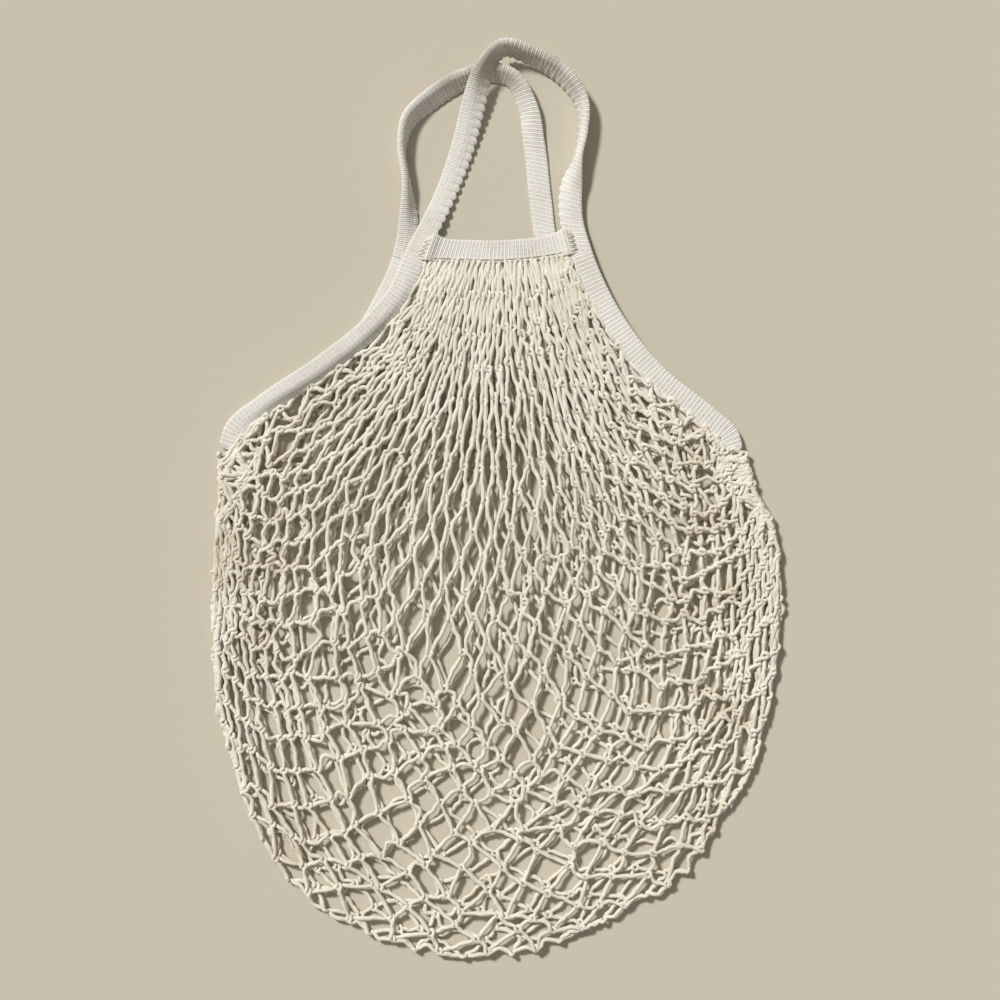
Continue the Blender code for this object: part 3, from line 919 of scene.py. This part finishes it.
def paint(tree, colour, height=None, strength=0.0, distance=0.0):
    """Links a colour, and a height as bump where one is given, to the tree's shader."""
    shader = tree.nodes["Principled BSDF"]
    tree.links.new(colour.socket, shader.inputs["Base Color"])
    if height is not None:
        bump = add_node(tree, "ShaderNodeBump", {
            "Height": height, "Strength": strength, "Distance": distance})
        tree.links.new(bump.socket, shader.inputs["Normal"])


def mixed(tree, share, first, second):
    """The mix of two colours, each an RGB triple or a node's output."""
    inputs = {0: share}
    for key, colour in ((6, first), (7, second)):
        inputs[key] = colour if isinstance(colour, Output) else (*colour, 1.0)
    return add_node(tree, "ShaderNodeMix", inputs, output=2, data_type="RGBA")


def place_on(tree):
    """The place on the object, in its own coordinates."""
    return add_node(tree, "ShaderNodeTexCoord", output="Object")


def noise(tree, scale, detail=2.0, roughness=0.5):
    """A noise through the object, from 0 to 1, with features about a metre over its scale."""
    return add_node(tree, "ShaderNodeTexNoise", {
        "Vector": place_on(tree), "Scale": scale, "Detail": detail, "Roughness": roughness})


def attribute(tree, name, output):
    return add_node(tree, "ShaderNodeAttribute", output=output, attribute_name=name)


def yarn_finish(scene):
    """Soft cotton yarn: a faint ply twist with painted shade in its grooves, fibres, slow changes
    of tone, browner patches at the sides.
    """
    colours = scene.string_bag_finish
    made, tree = cotton("net_cotton_yarn", 0.92)
    side_x, side_y, _ = axes(tree, attribute(tree, "yarn_side", "Vector"))
    turn = attribute(tree, "yarn_along", "Fac") * (2 * math.pi / PLY_TURN)
    ply = maths("ABSOLUTE", maths("SINE", turn) * side_x + maths("COSINE", turn) * side_y)
    patches = ramp(noise(tree, 26.0, 3.0), 0.38, 0.66)
    grain = ramp(noise(tree, 210.0), 0.3, 0.72)
    fibres = noise(tree, 620.0, 3.0, 0.7)
    # Painted shade in the grooves between the plies.
    painted_groove_shade = 1.0 - ramp(ply, 0.0, 0.5)
    share = 1.0 - ((patches + grain) * 0.36 + painted_groove_shade * 0.25)
    plain = mixed(tree, share, colours.yarn_shade, colours.yarn)
    aside = maths("ABSOLUTE", axes(tree, place_on(tree))[0])
    # Browner in patches towards the sides.
    browner_patches = ramp(noise(tree, 24.0), 0.46, 0.64) * ramp(noise(tree, 130.0), 0.35, 0.65)
    browner_patches *= ramp(aside, *BROWNER_SPAN)
    colour = mixed(tree, browner_patches * 0.5, plain, colours.yarn_browner)
    paint(tree, colour, ply * 0.6 + fibres * 0.4, strength=0.5, distance=0.0006)
    return made


def tape_finish(scene):
    """Ribbed knit: painted shade between the ribs, finely ribbed between them, and painted shade
    over the tops of the handles.
    """
    colours = scene.string_bag_finish
    made, tree = cotton("tape_cotton_knit", 0.94)
    length, across, _ = axes(tree, attribute(tree, "tape_place", "Vector"))
    turn = length * (2 * math.pi / scene.string_bag_tape.rib_pitch)
    wobble = noise(tree, 160.0) * 2.4
    coarse = maths("COSINE", turn + wobble)
    fine = maths("COSINE", turn * 2.0 + wobble)
    stitches = maths("SINE", across * 16.0)
    # Painted shade between the ribs, darker still at random specks.
    painted_rib_shade = ramp(coarse * 0.65 + fine * 0.35, 0.2, -0.9)
    patches = ramp(noise(tree, 34.0, 3.0), 0.42, 0.7)
    fibres = noise(tree, 560.0, 3.0, 0.7)
    specks = ramp(noise(tree, 330.0, 2.0, 0.6), 0.5, 0.64)
    share = 1.0 - (patches * 0.3 + (specks * 0.5 + 0.38) * painted_rib_shade)
    plain = mixed(tree, share, colours.tape_shade, colours.tape)
    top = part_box("handle_front")[1][1]
    # Painted shade over the tops of the handles, in patches.
    held = ramp(axes(tree, place_on(tree))[1], *(top - below for below in TOP_SHADE_DEPTHS))
    held *= ramp(noise(tree, 60.0, 3.0), 0.25, 0.7)
    colour = mixed(tree, held * 0.75, plain, colours.tape_top_painted_shade)
    height = fine * 0.22 + (stitches * 0.05 + fibres * 0.6)
    paint(tree, colour, height, strength=0.7, distance=0.0008)
    return made


def thread_finish(scene):
    """Sewing thread, darker than the tape: partly its own colour and partly painted shade of the
    holes round its stitches; worn lighter in places.
    """
    colours = scene.string_bag_finish
    made, tree = cotton("sewing_thread", 0.9)
    share = ramp(noise(tree, 260.0), 0.4, 0.75)
    paint(tree, mixed(tree, share, colours.thread, colours.tape_shade))
    return made


FINISHES = {
    "net_cotton_yarn": yarn_finish,
    "tape_cotton_knit": tape_finish,
    "sewing_thread": thread_finish,
}


def finish(scene, name):
    """The cotton of that name, made the first time that it is asked for."""
    return bpy.data.materials.get(name) or FINISHES[name](scene)


# Building

def place_in_frame(piece, slot, *nodes):
    """Moves a finished piece from the tables' origin to the frame's, and lets it ride there."""
    piece.data.transform(Matrix.Translation(Vector(frame_shift())))
    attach(piece, "root")
    if nodes:
        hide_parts(*nodes)


def yarn_piece(name, paths, diameter, sides, cotton_finish):
    """Round yarns along paths, whose points are x, y, z and a share of the thickness."""
    data = bpy.data.curves.new(name, "CURVE")
    data.dimensions = "3D"
    for path in paths:
        spline = data.splines.new("POLY")
        spline.points.add(len(path) - 1)
        spline.points.foreach_set(
            "co", np.column_stack((path[:, :3], np.ones(len(path)))).ravel())
        spline.points.foreach_set("radius", path[:, 3])
    return run_tree(scene_object(name, data), "yarn_sweep", {
        "Diameter": diameter, "Sides": sides, "Material": cotton_finish})


def tape_skin(name, rings, lengths, slants):
    """A tape's skin from rings of (points, share across, way across, lobe strength)."""
    count = len(rings[0][0])
    mesh = bpy.data.meshes.new(name)
    faces = [
        (a + k, a + count + k, a + count + (k + 1) % count, a + (k + 1) % count)
        for a in range(0, (len(rings) - 1) * count, count) for k in range(count)]
    last = (len(rings) - 1) * count
    faces += [tuple(range(count)), tuple(range(last + count - 1, last - 1, -1))]
    mesh.from_pydata(np.concatenate([ring[0] for ring in rings]).tolist(), [], faces)
    place = np.concatenate([
        np.column_stack((length - slant * ring[1], ring[1], ring[3]))
        for ring, length, slant in zip(rings, lengths, np.broadcast_to(slants, len(rings)))])
    across = np.concatenate([ring[2] for ring in rings])
    for label, values in (("tape_place", place), ("tape_across", across)):
        stored = mesh.attributes.new(label, "FLOAT_VECTOR", "POINT")
        stored.data.foreach_set("vector", values.astype(np.float32).ravel())
    work = bmesh.new()
    work.from_mesh(mesh)
    bmesh.ops.recalc_face_normals(work, faces=work.faces)
    work.to_mesh(mesh)
    work.free()
    return scene_object(name, mesh)


ACROSS = np.linspace(-1.0, 1.0, 9)  # the shares across a tape at which its skin has points
RIM = np.array([[math.pi / 4], [math.pi / 2], [3 * math.pi / 4]])  # and round its edges


def tape_ring(points, normals, ways, thickness, lobes=0.0):
    """One closed ring round a tape's middle surface, with rounded edges."""
    half = thickness / 2
    normals, ways = (np.broadcast_to(given, points.shape) for given in (normals, ways))
    rims = [
        points[end] + side * ways[end] * half * np.sin(RIM)
        + side * normals[end] * half * np.cos(RIM)
        for end, side in ((-1, 1.0), (0, -1.0))]
    ring = np.concatenate(
        (points + normals * half, rims[0], (points - normals * half)[::-1], rims[1]))
    last = len(points) - 1
    order = [*range(last + 1), *[last] * len(RIM), *range(last, -1, -1), *[0] * len(RIM)]
    return ring, ACROSS[order], ways[order], np.full(len(ring), lobes)


def tape_piece(scene, name, node, rings, lengths, slants=0.0):
    """A ribbed tape through its rings, in place."""
    sizes = scene.string_bag_tape
    piece = run_tree(tape_skin(name, rings, lengths, slants), "tape_ribs", {
        "Rib pitch": sizes.rib_pitch, "Rib height": sizes.rib_height,
        "Lobe depth": sizes.lobe_depth, "Material": finish(scene, "tape_cotton_knit")})
    place_in_frame(piece, "tape_cotton", node)


def bag_layers(scene):
    """The front and back layers of the bag, by name."""
    width = scene.string_bag_tape.heading_width
    return {
        "front": Layer(FRONT_TAPE, FRONT_HEADING, FRONT_SEAM_Y, width),
        "back": Layer(BACK_TAPE, BACK_HEADING, BACK_SEAM_Y, width),
    }


# Operators

class STRINGBAG_OT_net(bpy.types.Operator):
    """Loops the yarns of both layers of the net"""

    bl_idname = "stringbag.net"
    bl_label = "Net"

    # For each layer: the height of its joints, where they are sewn on and how far they swell up,
    # the rows held at the fold, and how far and at what height the yarns tuck into the bindings.
    LAYERS = {
        "front": {"height": 6.3 * MM, "sewn": 5.0 * MM, "swell": 3.0 * MM, "rim_rows": 2,
                  "tuck": 3.5 * MM, "tuck_height": 5.2 * MM},
        "back": {"height": 2.3 * MM, "sewn": 1.8 * MM, "swell": 0.6 * MM, "rim_rows": 1,
                 "tuck": 1.5 * MM, "tuck_height": 1.4 * MM},
    }
    DRAWN = 0.68  # how long the net is down the bindings, as a share of its bars end to end

    def execute(self, context):
        scene = context.scene
        yarn = scene.string_bag_yarn
        layers = bag_layers(scene)
        fold = fold_line(layers["front"].tape, yarn.diameter)
        fold_height = np.mean([sizes["height"] for sizes in self.LAYERS.values()])
        for number, (label, sizes) in enumerate(self.LAYERS.items()):
            rng = np.random.default_rng(yarn.seed + number)
            edges = layers[label].net_edges(fold, self.DRAWN * yarn.rows_down * yarn.bar)
            net = Net(yarn, edges, sizes, fold_height, rng)
            middle = net.down // 2
            for half, rows in (("upper", range(middle)), ("lower", range(middle, net.down))):
                paths = [net.yarn(course) for course in rows]
                self.quarter(scene, f"net_{label}_{half}", paths, net.across)
        return {"FINISHED"}

    def quarter(self, scene, name, paths, across):
        """A quarter of the net, in place."""
        yarn = scene.string_bag_yarn
        piece = yarn_piece(
            name, paths, yarn.diameter, yarn.sides, finish(scene, "net_cotton_yarn"))
        place_in_frame(piece, "net_cotton", "net_pouch")


class STRINGBAG_OT_tapes(bpy.types.Operator):
    """Makes the handles and the side bindings of ribbed tape"""

    bl_idname = "stringbag.tapes"
    bl_label = "Handles and bindings"

    MEAN_WIDTH = 0.0145
    LOBES = {"front": (1.0, 0.5), "back": (0.6, 0.0)}  # how strong, on the left and right legs
    LOBE_FADE = 30.0 * MM  # how far from a seam the lobes reach their strength
    SLANTED = (0.55, 0.8)  # the shares along a handle at which its ribs start to lean, and do
    TURNS = 14  # steps in which a binding turns over at the bag's corner
    TIP = 0.3  # how much narrower it is there

    def execute(self, context):
        layers = bag_layers(context.scene)
        self.sizes = context.scene.string_bag_tape
        for label, layer in layers.items():
            tape = layer.tape
            start, end = (tape.seams[side] for side in SIDES)
            lengths = self.stations(start, end)
            rings = [
                self.ring(tape, length, 1.0, np.interp(length, (start, end), self.LOBES[label]))
                for length in lengths]
            right_leg = np.interp((lengths - start) / (end - start), self.SLANTED, (0.0, 1.0))
            self.tape(context, f"handle_{label}", rings, lengths, self.sizes.slant * right_leg)
        for side in SIDES:
            self.binding(context, layers["front"].tape, layers["back"].tape, side)
        return {"FINISHED"}

    def stations(self, start, end):
        """Lengths along a tape, six for each rib."""
        count = max(2, round(abs(end - start) / (self.sizes.rib_pitch / 6)) + 1)
        return np.linspace(start, end, count)

    def ring(self, tape, length, face, lobes=0.0):
        """The ring at a length, with its face up, 1, or down, -1."""
        points, normals, ways = tape.profile(length, ACROSS)
        from_seam = min(abs(length - seam) for seam in tape.seams.values())
        lobes *= min(1.0, from_seam / self.LOBE_FADE)
        return tape_ring(points, normals * face, ways, self.sizes.thickness, lobes)

    def tape(self, context, node, rings, lengths, slants=0.0):
        tape_piece(context.scene, f"{node}_tape", node, rings, lengths, slants)

    def binding(self, context, front, back, side):
        """A binding from its seam with the front handle, over the corner and up the back."""
        down = self.stations(front.seams[side], front.end(side))
        rings = [self.ring(front, length, 1.0) for length in down]
        lengths = list(np.abs(down - front.seams[side]))
        top, outward = front.profile(front.end(side), ACROSS)[0], front.left_of(front.end(side))
        bottom = back.profile(back.end(side), ACROSS)[0]
        beyond = np.cross(outward, UP) * side
        radius = (top[0][2] - bottom[0][2]) / 2
        centre = (top + bottom) / 2
        middle = centre.mean(axis=0)
        for step in range(1, self.TURNS):
            turn = math.pi * step / self.TURNS
            normal = UP * math.cos(turn) + beyond * math.sin(turn)
            spread = middle + (centre - middle) * (1.0 - self.TIP * math.sin(turn))
            rings.append(tape_ring(
                spread + normal * radius, normal, outward, self.sizes.thickness))
            lengths.append(lengths[-1] + math.pi * radius / self.TURNS)
        up = self.stations(back.end(side), back.seams[side])
        rings += [self.ring(back, length, -1.0) for length in up]
        lengths += list(lengths[-1] + np.abs(up - back.end(side)))
        self.tape(context, f"binding_{SIDE_NAMES[side]}", rings, lengths)


class STRINGBAG_OT_headings(bpy.types.Operator):
    """Makes the heading tapes, whose ends are sewn onto the side tapes"""

    bl_idname = "stringbag.headings"
    bl_label = "Headings"

    UNDERSIDES = {"front": 5.1 * MM, "back": 0.1 * MM}
    RISE = 2.0 * MM  # how far the ends rise onto the side tapes
    # These are in overlaps from a heading's end: where its upper edge rises most to the handle's,
    # how far that spreads, and from where it is off the side tape.
    CORNER, CORNER_SPREAD, OFF_TAPE = 1.1, 1.2, 2.2
    END_THICKNESS = 0.15  # of the heading's thickness

    def execute(self, context):
        scene = context.scene
        sizes = scene.string_bag_tape
        for label, layer in bag_layers(scene).items():
            half = sizes.heading_width / 2
            upper = share_of(layer.heading_line(half, sizes.overlap))
            lower = share_of(layer.heading_line(-half, sizes.overlap))
            length = np.linalg.norm(upper(1.0) - upper(0.0))
            shares = np.linspace(0.0, 1.0, round(length / (sizes.rib_pitch / 6)) + 1)
            rings = []
            for share in shares:
                ends = min(share, 1 - share) * length / sizes.overlap
                rings.append(self.ring(
                    sizes, lower(share), upper(share), ends, self.UNDERSIDES[label]))
            lengths = shares * length * sizes.rib_pitch / sizes.heading_pitch
            tape_piece(
                scene, f"heading_{label}_tape", f"heading_{label}", rings, lengths)
        return {"FINISHED"}

    def ring(self, sizes, low, high, from_end, underside):
        """The ring between two plan points; from_end is in overlaps from the nearer end."""
        corner = math.exp(-((from_end - self.CORNER) / self.CORNER_SPREAD) ** 2)
        high = high + np.array([0.0, sizes.fillet * corner])
        thickness = sizes.thickness * np.interp(from_end, (0.0, 1.0), (self.END_THICKNESS, 1.0))
        underside += self.RISE * float(np.clip(self.OFF_TAPE - from_end, 0.0, 1.0))
        blend = (ACROSS[:, None] + 1) / 2
        points = np.column_stack((
            low + (high - low) * blend, np.full(len(ACROSS), underside + thickness / 2)))
        way = np.append(unit(high - low), 0.0)
        return tape_ring(points, UP, way, thickness)


class STRINGBAG_OT_stitches(bpy.types.Operator):
    """Sews the headings to the net and to the side tapes"""

    bl_idname = "stringbag.stitches"
    bl_label = "Stitches"

    SURFACES = {"front": 7.2 * MM, "back": 2.2 * MM}  # the height of the headings' upper faces
    STITCH = 9.0 * MM
    INSET = 1.2 * MM  # of the seam from the heading's lower edge
    # A stitch's points: the share of its length, and how far above the surface in millimetres.
    DIPS = ((0.04, -0.6), (0.22, 0.1), (0.5, 0.2), (0.78, 0.1), (0.96, -0.6))
    ZIGZAG = ((2.6 * MM, 1.3 * MM), (-1.3 * MM, 0.1 * MM))  # inwards and up, by turns
    ZIGZAG_TURNS = np.linspace(-0.8, 0.9, 9)  # from the heading's lower to its upper edge

    def execute(self, context):
        scene = context.scene
        sizes = scene.string_bag_tape
        thread = finish(scene, "sewing_thread")
        for label, layer in bag_layers(scene).items():
            surface = self.SURFACES[label]
            paths = [self.seam(layer, sizes, surface)]
            paths += [self.zigzag(layer, sizes, surface, side) for side in SIDES]
            piece = yarn_piece(f"stitches_{label}", paths, sizes.thread, 6, thread)
            place_in_frame(piece, "tape_cotton")
        return {"FINISHED"}

    def seam(self, layer, sizes, surface):
        """The thread along a heading's lower edge, which dips into the tape at every stitch."""
        line = share_of(layer.heading_line(-sizes.heading_width / 2 + self.INSET))
        count = round(np.linalg.norm(line(1.0) - line(0.0)) / self.STITCH)
        points = [
            (*line((stitch + along) / count), surface + height * MM, 1.0)
            for stitch in range(count) for along, height in self.DIPS]
        return rounded(points, 2)

    def zigzag(self, layer, sizes, surface, side):
        """The thread to and fro over a heading's end."""
        end = 0 if side < 0 else -1
        half = sizes.heading_width / 2
        points = []
        for turn, rise in enumerate(self.ZIGZAG_TURNS):
            x, y = layer.heading_line(half * rise, sizes.overlap)[end]
            inwards, height = self.ZIGZAG[turn % 2]
            points.append((x - side * inwards, y, surface + height, 1.0))
        return rounded(points, 4)


class STRINGBAG_OT_stage(bpy.types.Operator):
    """Adds the floor, the lights and the camera"""

    bl_idname = "stringbag.stage"
    bl_label = "Stage"

    VIEW_WIDTH = 0.680  # what the camera sees from side to side, a little above the table
    VIEW_CENTRE = (0.0020, -0.0007)
    BAG_HEIGHT = 0.005  # where that width is seen
    LENS_MM = 70.0
    SENSOR_MM = 36.0
    TOWARDS_LIGHT = (-0.66, 0.72, 1.0)
    LIGHT = {"energy": 3.1, "angle": math.radians(9.0), "color": (1.0, 0.985, 0.96)}
    SKY = {"Color": (1.0, 0.95, 0.88, 1.0), "Strength": 0.27}
    FLOOR_HALF = 3.0
    FLOOR_GAP = 0.2 * MM  # between the floor and the solids

    def execute(self, context):
        scene = context.scene
        self.floor(scene)
        sun = bpy.data.lights.new("window_light", "SUN")
        for name, value in self.LIGHT.items():
            setattr(sun, name, value)
        lamp = scene_object("window_light", sun)
        lamp.rotation_mode = "QUATERNION"
        lamp.location = self.TOWARDS_LIGHT
        lamp.rotation_quaternion = lamp.location.to_track_quat("Z", "Y")
        scene.world = bpy.data.worlds.new("studio")
        scene.world.use_nodes = True
        sky = scene.world.node_tree.nodes["Background"]
        for name, value in self.SKY.items():
            sky.inputs[name].default_value = value
        data = bpy.data.cameras.new("overhead")
        data.lens = self.LENS_MM
        data.sensor_width = self.SENSOR_MM
        data.clip_start, data.clip_end = 0.01, 20.0
        camera = scene_object("overhead", data)
        height = self.VIEW_WIDTH * self.LENS_MM / self.SENSOR_MM
        camera.location = (*self.VIEW_CENTRE, height + self.BAG_HEIGHT)
        scene.camera = camera
        scene.view_settings.view_transform = "Standard"
        return {"FINISHED"}

    def floor(self, scene):
        work = bmesh.new()
        bmesh.ops.create_grid(work, x_segments=1, y_segments=1, size=self.FLOOR_HALF)
        bmesh.ops.translate(
            work, verts=work.verts, vec=(0.0, 0.0, CAD_BOX[0].z - self.FLOOR_GAP))
        mesh = bpy.data.meshes.new("floor")
        work.to_mesh(mesh)
        work.free()
        material = bpy.data.materials.new("floor_paint")
        material.use_nodes = True
        inputs = material.node_tree.nodes["Principled BSDF"].inputs
        inputs["Base Color"].default_value = (*scene.string_bag_finish.floor, 1.0)
        inputs["Roughness"].default_value = 1.0
        inputs["Specular IOR Level"].default_value = 0.0
        mesh.materials.append(material)
        scene_object("floor", mesh)


class STRINGBAG_PT_panel(bpy.types.Panel):
    """The bag's sizes, colours and building steps"""

    bl_idname = "STRINGBAG_PT_panel"
    bl_label = "String bag"
    bl_space_type = "VIEW_3D"
    bl_region_type = "UI"
    bl_category = "String bag"

    def draw(self, context):
        for label in SETTINGS:
            group = getattr(context.scene, label)
            box = self.layout.box()
            for name in group.__annotations__:
                box.prop(group, name)
        for step in STEPS:
            self.layout.operator(step.bl_idname)


SETTINGS = {
    "string_bag_yarn": YarnSettings,
    "string_bag_tape": TapeSettings,
    "string_bag_finish": FinishSettings,
}
STEPS = (
    STRINGBAG_OT_net, STRINGBAG_OT_tapes, STRINGBAG_OT_headings, STRINGBAG_OT_stitches,
    STRINGBAG_OT_stage)
CLASSES = (*SETTINGS.values(), *STEPS, STRINGBAG_PT_panel)


def register():
    for cls in CLASSES:
        bpy.utils.register_class(cls)
    for name, group in SETTINGS.items():
        setattr(bpy.types.Scene, name, bpy.props.PointerProperty(type=group))


def unregister():
    for name in SETTINGS:
        delattr(bpy.types.Scene, name)
    for cls in reversed(CLASSES):
        bpy.utils.unregister_class(cls)


def main():
    register()
    bpy.ops.stringbag.net()
    bpy.ops.stringbag.tapes()
    bpy.ops.stringbag.headings()
    bpy.ops.stringbag.stitches()
    bpy.ops.stringbag.stage()


if __name__ == "__main__":
    main()
